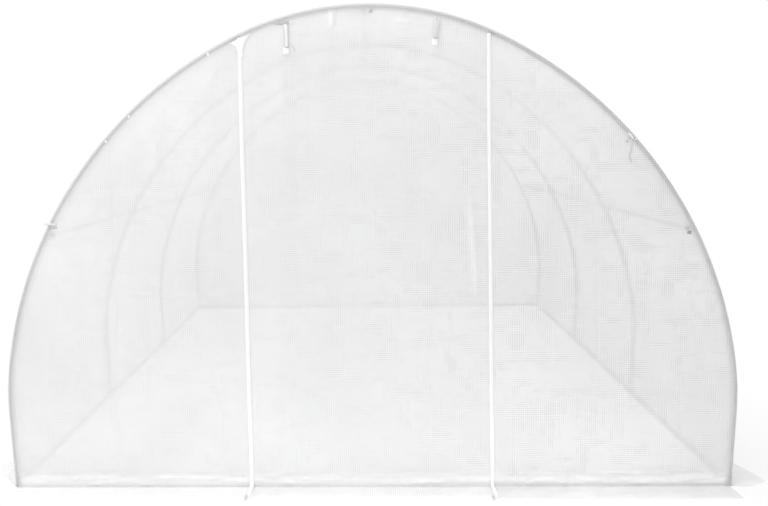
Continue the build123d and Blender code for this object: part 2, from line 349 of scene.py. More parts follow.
def film_strands(tree, uv):
    """Where the strands show, and how far the film between them shows with them."""
    split = split_of(tree, uv)
    strength = map_range(tree, split[0], -0.5, 0.7, 0.5, 1.1)
    strands, shown = [], []
    for k, stretch in enumerate(((7.0, 2.6, 1.0), (2.6, 7.0, 1.0))):
        stretched = add_node(tree, "VectorMath", operation="MULTIPLY", i0=uv, i1=stretch).outputs[0]
        patches = map_range(tree, noise_of(tree, stretched, 2.0, 3.0, 0.6), 0.49, 0.62, 0.03, 1.5)
        patches = times(tree, patches, strength)
        strands.append(strand_mask(tree, split[k], patches))
        shown.append(patches)
    seen = math_node(tree, "MAXIMUM", *strands)
    return seen, math_node(tree, "SUBTRACT", math_node(tree, "MAXIMUM", *shown), seen)


def film_tone(tree, uv, seen, between, doubled_and_painted_light):
    """The film's colour: cloudy, duller between strands, and white on them, where doubled and where light is
    painted in as whiter film.
    """
    cloud = map_range(tree, noise_of(tree, uv, 1.7, 4.0, 0.5), 0.33, 0.67, 0.0, 1.0)
    tone = mix_colour(tree, cloud, grey(0.885, 0.001), grey(0.965, 0.001))
    tone = mix_colour(tree, times(tree, between, 0.42), tone, grey(0.79))
    # Whiter film where doubled, and painted light wherever see_through is below 0
    tone = mix_colour(tree, times(tree, doubled_and_painted_light, 0.7), tone, grey(0.975))
    return mix_colour(tree, seen, tone, grey(0.99))


def film_material():
    """Reinforced white polyethylene: milky film with a square grid of whiter strands.

    The attribute see_through is 0 on plain film, 1 on a tube, 2 on the ground and -1 where it is doubled.
    Below 0 the film is also whiter and denser as painted light: on the foot's hem and band, along fold
    highlights, beside the end hoops and below the arch.
    """
    material, tree = nodes_of("reinforced_film")
    uv = add_node(tree, "UVMap", uv_map="weave").outputs[0]
    seen, between = film_strands(tree, uv)
    see_through = add_node(tree, "Attribute", attribute_name="see_through").outputs["Fac"]
    doubled_and_painted_light = map_range(tree, see_through, -1.0, 0.0, 1.0, 0.0)
    tone = film_tone(tree, uv, seen, between, doubled_and_painted_light)
    fine = noise_of(tree, uv, 90.0, 3.0, 0.6)
    relief = math_node(tree, "ADD", times(tree, seen, 0.6), times(tree, fine, 0.5))
    normal = bump_of(tree, relief, 0.5, 0.0006)
    pressed = map_range(tree, see_through, 0.0, 2.0, 0.875, 0.47)
    dense = math_node(tree, "ADD", pressed, times(tree, doubled_and_painted_light, 0.105))
    alpha = map_range(tree, seen, 0.0, 1.0, dense, 0.96)
    surface = principled(tree, tone, 0.42, Alpha=alpha, Normal=normal)
    through = add_node(tree, "BsdfTranslucent", Color=tone, Normal=normal)
    share = map_range(tree, seen, 0.0, 1.0, 0.38, 0.3)
    share = times(tree, share, map_range(tree, doubled_and_painted_light, 0.0, 1.0, 1.0, 0.12))
    open_way = add_node(tree, "BsdfTransparent", Color=grey(1.0))
    gap = map_range(tree, see_through, 0.0, 2.0, 0.0, 0.34)
    show(tree, mix_shaders(tree, gap, mix_shaders(tree, share, surface, through), open_way))
    return material


def plain_material(name, tones, roughness, scale, tint=0.0, metallic=0.0, bump_scale=0.0, bump_depth=0.0):
    """A surface whose tone and roughness each wander between two values."""
    material, tree = nodes_of(name)
    place = object_place(tree)
    cloud = noise_of(tree, place, scale, 5.0, 0.6)
    colour = mix_colour(tree, cloud, *(grey(tone, tint) for tone in tones))
    rough = map_range(tree, cloud, 0.3, 0.7, *roughness)
    inputs = {"Metallic": metallic}
    if bump_scale:
        inputs["Normal"] = bump_of(tree, noise_of(tree, place, bump_scale, 3.0, 0.6), 0.6, bump_depth)
    show(tree, principled(tree, colour, rough, **inputs))
    return material


def webbing_material(name, tones, rib_pitch):
    """Woven tape: fine ribs across it, from object coordinates."""
    material, tree = nodes_of(name)
    split = split_of(tree, object_place(tree))
    up, side = (math_node(tree, "SINE", times(tree, split[k], 2 * pi / rib_pitch)) for k in (2, 0))
    factor = map_range(tree, times(tree, up, side), -1.0, 1.0, 0.0, 1.0)
    colour = mix_colour(tree, factor, *(grey(tone) for tone in tones))
    show(tree, principled(tree, colour, 0.8, Normal=bump_of(tree, factor, 0.5, 0.0003)))
    return material


film = film_material()
steel = plain_material("galvanised_tube", (0.37, 0.49), (0.34, 0.5), 40.0, 0.004, 0.2, 300.0, 0.0003)
cast_steel = plain_material("galvanised_fitting", (0.24, 0.36), (0.45, 0.6), 60.0, 0.004, 0.3, 200.0, 0.0005)
zip_tape_cloth = webbing_material("zip_tape_cloth", (0.97, 0.995), 0.0012)
zip_teeth_plastic = plain_material("zip_teeth_plastic", (0.97, 0.99), (0.35, 0.45), 80.0)
slider_metal = plain_material("slider_metal", (0.62, 0.72), (0.35, 0.5), 120.0, metallic=0.2)
strap_webbing = webbing_material("strap_webbing", (0.88, 0.97), 0.0016)
tab_webbing = webbing_material("tab_webbing", (0.52, 0.62), 0.0016)
soft_webbing = webbing_material("soft_webbing", (0.78, 0.84), 0.0016)
film_webbing = webbing_material("film_webbing", (0.71, 0.78), 0.0016)
# Edge bindings on the straps are partly painted shadow: dark bands along the strap edges, darker on the
# right, away from the light
edge_binding = webbing_material("edge_binding", (0.54, 0.64), 0.0012)
pale_binding = webbing_material("pale_binding", (0.66, 0.74), 0.0012)
tail_webbing = webbing_material("tail_webbing", (0.62, 0.70), 0.0012)
tie_cloth = webbing_material("tie_cloth", (0.95, 0.99), 0.0014)
thread = plain_material("thread", (0.60, 0.70), (0.6, 0.7), 200.0)
toggle_plastic = plain_material("toggle_plastic", (0.93, 0.98), (0.3, 0.4), 60.0)
plug_plastic = plain_material("plug_plastic", (0.30, 0.38), (0.4, 0.5), 80.0)


# Cover: one sheet over all the hoops, turned round the end hoops, with a skirt on each side
SHEET_INSET = 0.0008
SIDE_SKIRT_ROWS = 12
ARCH_ROWS = 334
TURN_COLUMNS = 7
LENGTH_COLUMNS = 232


def cover_grid():
    """Each place's distance from the ridge, its y, and its turn round an end hoop."""
    skirt = HALF_RUN + np.linspace(SKIRT_WIDTH, 0, SIDE_SKIRT_ROWS)[:-1]
    across = np.concatenate([-skirt, np.linspace(-HALF_RUN, HALF_RUN, ARCH_ROWS), skirt[::-1]])
    turn = np.linspace(pi / 2, 0, TURN_COLUMNS)[:-1]
    along = np.linspace(-HOOP_LINE, HOOP_LINE, LENGTH_COLUMNS)
    y = np.pad(along, len(turn), mode="edge")
    turn = np.concatenate([turn, 0 * along, turn[::-1]])
    return *np.meshgrid(across, y, indexing="ij"), np.repeat(turn[None, :], len(across), 0)


def hoop_gap(y):
    """How far places along the tunnel are from the nearest hoop."""
    return np.min([abs(y - station) for station in STATIONS], axis=0)


def cover_swell(across, y):
    """How far the film stands off its line: it sags between hoops, with folds from hoop to hoop."""
    free = ease(hoop_gap(y), 0.014, 0.2)
    phase = (y + HOOP_LINE) / BAY
    middle = np.sin(pi * (phase - np.floor(phase))) ** 2
    run = HALF_RUN - abs(across)
    top = ease(run, 1.2, 2.4)
    sag = -(0.007 + 0.012 * top) * middle * (1 + 0.35 * wander(across * 0.9, y * 0.7, 1))
    long_folds = 0.0035 * wander(across * 7.0, y * 0.8, 2) + 0.0018 * wander(across * 17.0, y * 1.6, 3)
    slant = 0.0022 * wander((across + 0.8 * y) * 5.0, (y - across) * 1.1, 4)
    crumple = 0.0006 * wander(across * 38, y * 34, 5)
    creases = 0.0013 * sum(ridge(across - 0.56 * k - 0.05, 0.007) for k in range(-4, 5))
    creases = creases - 0.0012 * sum(ridge(y - 0.77 * k - 0.1, 0.007) for k in range(-2, 3))
    foot = 1 - ease(run, 0.02, 0.22)
    buckles = foot * 0.004 * wander(across * 3.0, y * 13.0, 6)
    return free * (sag + long_folds + slant + creases + buckles) + 0.7 * crumple * free


def skirt_waves(out, along, seed):
    """Height of a skirt: it lies in low waves and lifts a little at its free edge."""
    share = out / SKIRT_WIDTH
    swell = 0.5 + 0.5 * wander(along * 5.0, out * 6.0, seed)
    waves = 0.01 * share * swell + 0.005 * abs(wander(along * 19.0, out * 14.0, seed + 1))
    return FILM_LIFT + waves * ease(out, 0.0, 0.03)


def side_skirt_shape(side, out, y):
    """How much narrower a side skirt lies, and how far its ends are slanted back."""
    share = out / SKIRT_WIDTH
    front, rear = y + HALF_LENGTH, HALF_LENGTH - y
    end_gap = np.minimum(front, rear)
    gathered = 0.2 + 0.14 * wander(y * 2.3, side * 4.0 + 0 * y, 24)
    left_pull = 0.3 * ridge(end_gap - 0.28, 0.16) * ease(end_gap, 0.0, 0.2)
    right_pull = 0.42 * ridge(end_gap - 0.26, 0.17) * ease(end_gap, 0.0, 0.12)
    narrower = gathered * ease(end_gap, 0.1, 0.6) + np.where(side < 0, left_pull, right_pull)
    near_front, near_rear = 1 - ease(front, 0.0, 0.3), 1 - ease(rear, 0.0, 0.3)
    slant = 0.17 * share * near_front * (side < 0)
    slant = slant + (0.03 * share - 0.03 * np.sin(pi * share)) * near_front * (side > 0)
    slant = slant - 0.1 * share * near_rear * (side > 0)
    return narrower, slant


def ring_clearness(gap, z):
    """How clear the film looks over an end hoop, by distance from its centre line and height. Just beside the
    line it is whiter and denser: painted light that lifts the hoop's shade.
    """
    # The negative term paints a whiter, denser band beside the hoop: painted light
    clear = 1.35 * ridge(gap, 0.0066) - 0.3 * (1 - ease(gap, 0.012, 0.02))
    return clear * (0.45 + 0.55 * ease(z, 0.005, 0.06))


COVER_NODES = [
    f"{side_name}_{part}"
    for side_name in ("left", "right")
    for part in (
        "wall_lower_film", "wall_upper_film", "shoulder_lower_film",
        "shoulder_upper_film", "roof_lower_film", "roof_upper_film", "skirt",
    )
] + ["front_edge_film", "rear_edge_film"]


def make_cover():
    """The cover's sheet, with its side skirts and rounded edges."""
    across, y, turn = cover_grid()
    outer = HOOP_INSET - SHEET_INSET
    x, z, normal_x, normal_z = arch(np.clip(across, -HALF_RUN, HALF_RUN), HOOP_INSET - outer * np.cos(turn))
    swell = cover_swell(across, y)
    x, z = x + normal_x * swell, z + normal_z * swell
    place_y = y + np.sign(y) * outer * np.sin(turn)
    out = np.maximum(abs(across) - HALF_RUN, 0)
    side = np.sign(across)
    narrower, slant = side_skirt_shape(side, out, place_y)
    lift = skirt_waves(out, place_y, 20) * (1 + 1.6 * narrower)
    on_skirt = out > 0
    x = np.where(on_skirt, x + side * out * (1 - narrower), x)
    z = np.where(on_skirt, lift, np.maximum(z, FILM_LIFT))
    place_y = np.where(on_skirt, place_y + slant, place_y)
    vertices = grid_points(x, place_y, z)
    uvs = np.stack([across, y + np.sign(y) * outer * turn], axis=-1).reshape(-1, 2)
    on_hoop = 0.12 * (1 - ease(hoop_gap(y), 0.006, 0.014))
    on_hoop = np.where(turn > 0, ring_clearness(outer * np.cos(turn), z), on_hoop)
    on_ground = ease(out, 0.0, 0.02) * np.where(side < 0, 2.0, 1.6)
    clear = np.where(on_skirt, on_ground, on_hoop)
    faces = grid_faces(*across.shape)
    cover = new_piece("cover_sheet", vertices, faces, film, "cover_film", uvs, clear)
    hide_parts(*COVER_NODES)


make_cover()

# End walls: each is a left panel, a door and a right panel, with its skirt in the same sheet
SHEET_FACE = HALF_LENGTH - SHEET_INSET
COLUMN_PITCH = 0.0085
FOOT_HEIGHT = 0.085
FOOT_LEVELS = np.linspace(0, FOOT_HEIGHT, 16, endpoint=False)
WALL_ROWS = 205
SKIRT_ROWS = 16
purlin_x, purlin_z, _, _ = arch(HALF_RUN - LOWER_JOINT, PURLIN_INSET)
PURLIN_ENDS = [(0.0, HEIGHT - PURLIN_INSET), (-purlin_x, purlin_z), (purlin_x, purlin_z)]

# Raised folds whose whiter, denser film is a painted highlight, each from start to stop with its width and
# strength
DOOR_FOLD_HIGHLIGHTS = [
    ((0.415, 1.215), (0.441, 0.770), 0.011, 1.0),
    ((-0.1265, 1.950), (-0.1265, 1.872), 0.006, 1.7),
    ((0.118, 1.898), (0.187, 1.892), 0.007, 1.0),
]
PANEL_FOLD_HIGHLIGHTS = [
    ((0.915, 0.066), (1.140, 0.060), 0.005, 1.2),
    ((1.060, 0.100), (1.230, 0.096), 0.005, 1.0),
    ((-0.900, 0.052), (-0.620, 0.040), 0.005, 1.0),
]

# Each sheet: its skirt's width and how clear the film is there, then the height of the band at its foot,
# how clear the film is in it and up the wall, and how much less near the arch, where the whiter film is
# painted light
SHEET_FORMS = {
    # Band levels below 0 make the foot band whiter and denser: painted light over the ground rail's shade
    "left": (0.101, 1.75, (0.004, -0.55, 0.13, 0.04)),
    "door": (0.111, 0.80, (0.008, -0.60, 0.08, 0.30)),
    "right": (0.136, 0.45, (0.014, -0.48, 0.32, 0.30)),
}


def fold_highlight_share(x, z, folds):
    """How strongly the painted fold highlights show at each place."""
    share = 0.0 * x
    for (start_x, start_z), (stop_x, stop_z), width, strength in folds:
        length = hypot(stop_x - start_x, stop_z - start_z)
        way_x, way_z = (stop_x - start_x) / length, (stop_z - start_z) / length
        along = (x - start_x) * way_x + (z - start_z) * way_z
        off = (x - start_x) * way_z - (z - start_z) * way_x
        shown = ease(along, 0.0, 0.25 * length) * (1 - ease(along, 0.75 * length, length))
        share = np.maximum(share, strength * ridge(off, width) * shown)
    return share


def zip_lean(x, z):
    """How far the zips and the film beside them lean off straight."""
    right = (0.013 - 0.0091 * z) * ridge(x - ZIP_X, 0.16)
    left = (0.009 - 0.0051 * z) * ridge(x + ZIP_X, 0.16)
    return right + left


def panel_swell(x, z, edge, seed, folds):
    """How far an end sheet stands out: it hangs a little slack, with soft folds."""
    free = ease(edge, 0.0, 0.16)
    billow = 0.01 * free * (0.6 + 0.6 * wander(x * 1.3, z * 1.1, seed))
    upright = 0.003 * wander(x * 8.0, z * 0.9, seed + 1) + 0.0016 * wander(x * 19.0, z * 2.0, seed + 2)
    level = 0.0022 * wander(x * 1.4, z * 6.5, seed + 3)
    slant = 0.0016 * wander((x + z) * 6.0, (x - z) * 1.2, seed + 4)
    bend = 0.01 * wander(x * 2, 0 * x, seed + 5)
    creases = 0.0016 * sum(ridge(z - height + bend, 0.008) for height in (0.42, 0.81, 1.22, 1.6))
    creases = creases - 0.0013 * sum(ridge(x - place, 0.007) for place in (-1.02, -0.27, 0.22, 0.93))
    crumple = 0.0006 * wander(x * 36, z * 36, seed + 6) * ease(edge, 0.0, 0.02)
    swell = billow + free * (upright + level + slant + creases) + crumple + 0.005 * folds
    for place, height in PURLIN_ENDS:
        swell = swell * (1 - 0.8 * ridge(np.hypot(x - place, z - height), 0.03))
    return swell


def foot_swell(x, z, seed):
    """The slack hem: it bulges over the ground rail, crumples there and is drawn tight below."""
    bulge = 0.003 * ridge(z - 0.026, 0.016) * (0.8 + 0.4 * wander(x * 4, 0 * x, seed + 2))
    crumple = 0.0045 * wander(x * 15, z * 70, seed) + 0.003 * wander(x * 50, z * 110, seed + 1)
    slack = ease(z, 0.004, 0.016) * (1 - ease(z, 0.05, FOOT_HEIGHT))
    return (bulge + crumple) * slack


def wall_swell(x, z, edge, fold_highlight, seed):
    """How far the film of an end wall stands out, foot and tucked edge included."""
    swell = panel_swell(x, z, edge, seed, fold_highlight) * ease(z, 0.02, 0.1)
    swell = swell + foot_swell(x, z, seed + 8) * ease(edge, 0.0, 0.03)
    swell = np.where(z < 0.03, np.maximum(swell, 0.0), swell)
    return swell - 0.0006 * (1 - ease(edge, 0.0, 0.003))


def ring_distance(x, z):
    """How far places in the end wall's plane are from the hoop's centre line."""
    runs = np.linspace(0, 2 * HALF_RUN, 700) - HALF_RUN
    line_x, line_z, _, _ = arch(runs, HOOP_INSET)
    flat_x, flat_z = x.ravel(), z.ravel()
    gap = np.full(flat_x.shape, 9.0)
    for k in range(len(runs) - 1):
        step_x, step_z = line_x[k + 1] - line_x[k], line_z[k + 1] - line_z[k]
        near = (abs(flat_x - line_x[k]) < 0.05) & (abs(flat_z - line_z[k]) < 0.05)
        if not near.any():
            continue
        dx, dz = flat_x[near] - line_x[k], flat_z[near] - line_z[k]
        share = np.clip((dx * step_x + dz * step_z) / (step_x ** 2 + step_z ** 2), 0, 1)
        gap[near] = np.minimum(gap[near], np.hypot(dx - share * step_x, dz - share * step_z))
    return gap.reshape(x.shape)


def foot_clearness(z, band_height, band_level):
    """How clear the film looks at its foot: a doubled hem whose whiter tone is also a painted highlight, and
    a band below it over the ground rail, whose levels below 0 are painted light over the rail's shade.
    """
    in_band = 1 - ease(z, band_height, band_height + 0.005)
    # The hem is doubled film, and its whiter tone also paints the highlight of its bulge
    painted_hem_highlight = 1 - ease(z, 0.028, 0.07)
    return band_level * in_band - 0.8 * painted_hem_highlight * (1 - in_band)


def wall_clearness(x, z, fold_highlight, band_height, at_band, on_wall, painted_light_near_arch):
    """How clear the film of an end wall looks, with painted fold highlights, painted light below the arch and
    the hoop behind its edge.
    """
    # Painted light: the film is whiter and denser in a band below the arch, lifting the hoop's shade
    painted_light_band = painted_light_near_arch * (1 - ease(height_over(x) - z, 0.05, 0.15)) * ease(z, 0.9, 1.3)
    clear = on_wall * ease(z, 0.06, 0.14) * (1 - ease(z, 1.1, 1.6))
    # Fold highlights make the film whiter and denser here: a painted highlight
    clear = foot_clearness(z, band_height, at_band) + clear - 0.6 * fold_highlight - painted_light_band
    gap = ring_distance(x, z)
    off_ring = ease(gap, 0.01, 0.02)
    return off_ring * np.maximum(clear, -1.0) + (1 - off_ring) * ring_clearness(gap, z)


def close_slit(x, z):
    """Draws the sheets together over a zip's upper end."""
    top_gap = height_over(x) - z
    drawn = 1 - ease(top_gap, 0.007, 0.016)
    off = abs(x) - ZIP_X
    return -1.06 * np.sign(x) * off * drawn * (1 - ease(abs(off), 0.01, 0.035))


def door_grid(low_x, high_x, columns):
    """Places on a door sheet, with the distance to its nearest edge, and its width."""
    x_top = np.linspace(low_x, high_x, columns + 1)
    rise = np.linspace(0, 1, WALL_ROWS)[:, None]
    wall_z = FOOT_HEIGHT + rise * (height_over(x_top)[None, :] - FOOT_HEIGHT)
    z = np.concatenate([np.repeat(FOOT_LEVELS[:, None], len(x_top), 1), wall_z])
    x = np.repeat(x_top[None, :], len(z), 0)
    edge = np.minimum(np.minimum(x - low_x, high_x - x), height_over(x) - z)
    return x, z, edge, high_x - low_x


def panel_grid(inner, columns):
    """The same for a side panel, whose rows run from the zip to the arch."""
    top = float(height_over(abs(inner)))
    heights = np.concatenate([FOOT_LEVELS, np.linspace(FOOT_HEIGHT, top, WALL_ROWS)])
    reach = half_width_at(np.clip(heights, 0, top))
    reach[-1] = abs(inner) + 0.0005
    share = np.linspace(0, 1, columns + 1)
    shares = share if inner > 0 else 1 - share
    out = abs(inner) + (reach - abs(inner))[:, None] * shares[None, :]
    z = np.repeat(heights[:, None], len(share), 1)
    edge = np.minimum(out - abs(inner), reach[:, None] - out)
    edge = np.minimum(edge, abs(height_over(out) - z))
    return np.sign(inner) * out, z, edge, float(out.max()) - abs(inner)


def end_skirt(end, hem_x, width, seed):
    """Places on an end sheet's skirt, from its free edge to the wall, and how far out each lies."""
    share = np.linspace(1, 0, SKIRT_ROWS, endpoint=False)[:, None]
    x = np.repeat(hem_x[None, :], SKIRT_ROWS, 0)
    out = share * (width * (1 + 0.05 * wander(x * 3.0, 0 * x, seed + 31)))
    places = np.stack([x, end * (SHEET_FACE + out), skirt_waves(out, x, seed + 30)], axis=-1)
    return places, out, share


def end_sheet(end, part, low_x, high_x, seed, folds):
    """One sheet of an end wall with its skirt. end is -1 at the front and 1 at the rear."""
    skirt_width, on_skirt, wall_form = SHEET_FORMS[part]
    columns = int((high_x - low_x) / COLUMN_PITCH)
    if part == "door":
        x, z, edge, width = door_grid(low_x, high_x, columns)
    else:
        x, z, edge, width = panel_grid(low_x if low_x > 0 else high_x, columns)
    # Painted highlights along the listed folds
    fold_highlight = fold_highlight_share(x, z, folds)
    swell = wall_swell(x, z, edge, fold_highlight, seed)
    clear = wall_clearness(x, z, fold_highlight, *wall_form)
    x = x + zip_lean(x, z) + close_slit(x, z)
    wall = np.stack([x, end * (SHEET_FACE + swell), np.maximum(z, FILM_LIFT)], axis=-1)
    skirt, out, share = end_skirt(end, x[0], skirt_width, seed)
    grid = np.concatenate([skirt, wall])
    uvs = np.concatenate([np.stack([skirt[..., 0], -out], axis=-1), np.stack([x, z], axis=-1)])
    clear = np.concatenate([on_skirt * ease(share, 0.0, 0.12) + 0 * out, clear])
    faces = grid_faces(*grid.shape[:2])
    name = f"{END_NAMES[end]}_{part}_sheet"
    piece = new_piece(name, grid.reshape(-1, 3), faces, film, "cover_film", uvs.reshape(-1, 2), clear)
    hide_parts(f"{END_NAMES[end]}_{part}_panel", f"{END_NAMES[end]}_skirt")
    cells = (x[:-1, 1:] - x[:-1, :-1]) * (z[1:, 1:] - z[:-1, 1:])
    area = abs(float(cells.sum())) + skirt_width * abs(float(x[0, -1] - x[0, 0]))
    flat = (width, float(z.max()) + skirt_width)
    area = min(area, 0.999 * flat[0] * flat[1])


LEFT_GAP, RIGHT_GAP = 0.0065, 0.0055
FOOT_X = float(half_width_at(FILM_LIFT))
SHEETS = [
    ("left", -FOOT_X, -ZIP_X - LEFT_GAP, PANEL_FOLD_HIGHLIGHTS),
    ("door", -ZIP_X + LEFT_GAP, ZIP_X - RIGHT_GAP, DOOR_FOLD_HIGHLIGHTS),
    ("right", ZIP_X + RIGHT_GAP, FOOT_X, PANEL_FOLD_HIGHLIGHTS),
]
for end, first_seed in ((-1, 40), (1, 140)):
    for number, (part, low_x, high_x, folds) in enumerate(SHEETS):
        end_sheet(end, part, low_x, high_x, first_seed + 20 * number, folds)


# Narrow pieces: tapes, straps, teeth and stitches
BAND_SECTION = [(-0.5, 0.0), (-0.44, 0.5), (0.44, 0.5), (0.5, 0.0), (0.44, -0.5), (-0.44, -0.5)]
CORNERS = [(-1, -1), (1, -1), (1, 1), (-1, 1)]
BLOCK_FACES = [(0, 1, 5, 4), (1, 2, 6, 5), (2, 3, 7, 6), (3, 0, 4, 7), (4, 5, 6, 7), (3, 2, 1, 0)]
BLOCK_TAPER = 0.7
UP = (0, 0, 1)
STITCH_PITCH = 0.0045


def band(name, centres, sides, normals, widths, thickness, material, slot="webbing"):
    """A flat band with softened edges along a line of centres, closed at both ends."""
    centres, sides, normals = (np.asarray(a, float) for a in (centres, sides, normals))
    widths = np.broadcast_to(np.asarray(widths, float), (len(centres),))[:, None]
    rings = [centres + sides * (out * widths) + normals * (rise * thickness) for out, rise in BAND_SECTION]
    vertices = np.stack(rings, axis=1).reshape(-1, 3)
    return new_piece(name, vertices, tube_faces(len(centres), len(BAND_SECTION)), material, slot)


def frames_along(points, side):
    """Sides and normals of a band whose side stays in one direction."""
    points = np.asarray(points, float)
    along = np.gradient(points, axis=0)
    along /= np.linalg.norm(along, axis=1)[:, None]
    sides = repeated(side, len(points))
    normals = np.cross(sides, along)
    return sides, normals / np.linalg.norm(normals, axis=1)[:, None]


def upright_band(name, line, widths, thickness, material):
    """A band across X along a line in the plane of an end wall."""
    return band(name, line, *frames_along(line, (1, 0, 0)), widths, thickness, material)


def blocks(centres, ways, sides, normals, size):
    """Many small blocks, each with its outer face a little smaller than its base."""
    length, width, height = size
    corners = []
    for rise, share in ((0, 1), (height, BLOCK_TAPER)):
        for a, b in CORNERS:
            across = ways * (a * share * length / 2) + sides * (b * share * width / 2)
            corners.append(centres + across + normals * rise)
    vertices = np.stack(corners, axis=1).reshape(-1, 3)
    faces = [[8 * i + k for k in quad] for i in range(len(centres)) for quad in BLOCK_FACES]
    return vertices, faces


def distances_along(points):
    """How far each point of a line is from its first, along the line."""
    return np.concatenate([[0], np.cumsum(np.linalg.norm(np.diff(points, axis=0), axis=1))])


def points_at(points, places):
    """Points of a line at some distances along it."""
    along = distances_along(points)
    return np.stack([np.interp(places, along, points[:, k]) for k in range(3)], axis=1)


def spaced(points, step):
    """Points at even steps along a line, with the directions there."""
    points = np.asarray(points, float)
    places = np.arange(step / 2, distances_along(points)[-1], step)
    ways = points_at(points, places + step / 4) - points_at(points, places - step / 4)
    return points_at(points, places), ways / np.linalg.norm(ways, axis=1)[:, None]


def smooth_line(points, count):
    """Even points along a soft line through a few given ones."""
    points = np.asarray(points, float)
    line = points_at(points, np.linspace(0, distances_along(points)[-1], count))
    for _ in range(3):
        line[1:-1] = (line[:-2] + 2 * line[1:-1] + line[2:]) / 4
    return line


def stitch_row(points, normal):
    """A row of raised stitches along a straight line."""
    places, ways = spaced(points, STITCH_PITCH)
    normals = repeated(normal, len(places))
    return blocks(places, ways, np.cross(normals, ways), normals, (0.003, 0.0009, 0.0006))


# Zips: each a tape with two rows of teeth and two of stitches
ZIP_TOP = float(height_over(ZIP_X, HOOP_INSET + 0.006))
ZIP_FOOT = 0.118
TAPE_FACE = HALF_LENGTH + 0.0008
TAPE_LIFT = 0.006
TAPE_WIDTHS = {"left": 0.0172, "right": 0.0152}
TAPE_THICKNESS = 0.0007
TURN_RADIUS = 0.01
TOOTH_PITCH = 0.0026
TOOTH_SIZE = (0.0021, 0.0036, 0.0008)
TAPE_STITCH_SIZE = (0.003, 0.0009, 0.0005)
STITCH_MARGIN = 0.0018
TRIM_RISE = 0.0003


def zip_line(x, end):
    """Down the end wall, round at the ground and out over the skirt."""
    height = np.linspace(ZIP_TOP, TURN_RADIUS + TAPE_LIFT, 150)
    place = x + zip_lean(x, height) + 0.001 * wander(height * 2.2, 0.5, 61)
    points = list(grid_points(place, end * TAPE_FACE, height))
    x = x + zip_lean(x, 0.0)
    for angle in np.linspace(0, pi / 2, 8)[1:]:
        out = TAPE_FACE + TURN_RADIUS * (1 - cos(angle))
        points.append((x, end * out, TAPE_LIFT + TURN_RADIUS * (1 - sin(angle))))
    for reach in np.linspace(TURN_RADIUS, ZIP_FOOT, 14)[1:]:
        points.append((x, end * (TAPE_FACE + reach), TAPE_LIFT + 0.004 * sin(pi * reach / ZIP_FOOT)))
    return np.array(points)


def zip_frames(points, step, end):
    """Places at even steps down a zip, with the directions along it, across it and out of it."""
    places, ways = spaced(points, step)
    sides = repeated((-end, 0, 0), len(places))
    normals = np.cross(sides, ways)
    return places, ways, sides, normals * np.sign(normals[0][1] * end)


def make_zip(end, side_name, x):
    """One zip, from under the arch to its foot on the skirt."""
    name = f"{END_NAMES[end]}_{side_name}_zip"
    points = zip_line(x, end)
    sides, normals = frames_along(points, (-end, 0, 0))
    normals = normals * np.sign(normals[0][1] * end)
    width = TAPE_WIDTHS[side_name]
    tape = band(f"{name}_tape", points, sides, normals, width, TAPE_THICKNESS, zip_tape_cloth, "zip")
    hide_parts(name)
    parts = []
    places, ways, across, out = zip_frames(points[2:], TOOTH_PITCH, end)
    for hand in (-1, 1):
        teeth = places + across * (hand * TOOTH_PITCH / 2) + ways * (hand * TOOTH_PITCH / 4) + out * TRIM_RISE
        parts.append(blocks(teeth, ways, across, out, TOOTH_SIZE))
    for hand in (-1, 1):
        row = points + sides * (hand * (width / 2 - STITCH_MARGIN)) + normals * TRIM_RISE
        parts.append(blocks(*zip_frames(row, STITCH_PITCH, end), TAPE_STITCH_SIZE))
    new_piece(f"{name}_teeth", *join_parts(parts), zip_teeth_plastic, "zip", smooth=False)


def make_gusset(end, x):
    """A white reinforcing patch where a zip meets the arch, narrowing down into the tape."""
    i, j = np.meshgrid(np.arange(17), np.arange(13), indexing="ij")
    fall, share = i / i.max(), j / j.max()
    half = 0.0088 + 0.034 * (1 - fall) ** 3 + 0.0012 * wander(i * 0.8, 3.3, 75)
    place = x + 0.002 + half * (2 * share - 1)
    top = height_over(place, HOOP_INSET + 0.009)
    rise = 0.0024 + 0.002 * np.sin(pi * share) * (1 - fall) + 0.0005 * wander(i * 0.7, j * 0.9, 71)
    vertices = grid_points(place, end * (HALF_LENGTH + rise), top - fall * (top - ZIP_TOP + 0.078))
    name = f"{END_NAMES[end]}_left_zip_gusset"
    patch = new_piece(name, vertices, grid_faces(*i.shape), zip_tape_cloth, "zip")


for end in END_NAMES:
    make_zip(end, "left", -ZIP_X)
    make_zip(end, "right", ZIP_X)
    make_gusset(end, -ZIP_X)


# Straps that hold a rolled-up door, each with a stitched tab, a strap with dark edge bindings that are partly
# painted shadow, and a toggle
FRONT = -1
FRONT_FACE = FRONT * HALF_LENGTH
TAB_WIDTHS = [0.0125, 0.0150, 0.0165, 0.0170, 0.0170, 0.0170, 0.0165, 0.0140, 0.0090]
LEFT_TAB, RIGHT_TAB = (-0.351, -0.294, 1.8968), (0.2795, 0.2885, 1.8995)
LEFT_STRAP, RIGHT_STRAP = ((-0.310, 1.8905), (-0.3055, 1.7985)), ((0.2885, 1.8980), (0.2825, 1.8240))
LEFT_TAIL = [(0.006, 0.008, 0.018), (0.013, 0.007, 0.013), (0.020, 0.006, 0.010), (0.0313, 0.003, -0.014)]


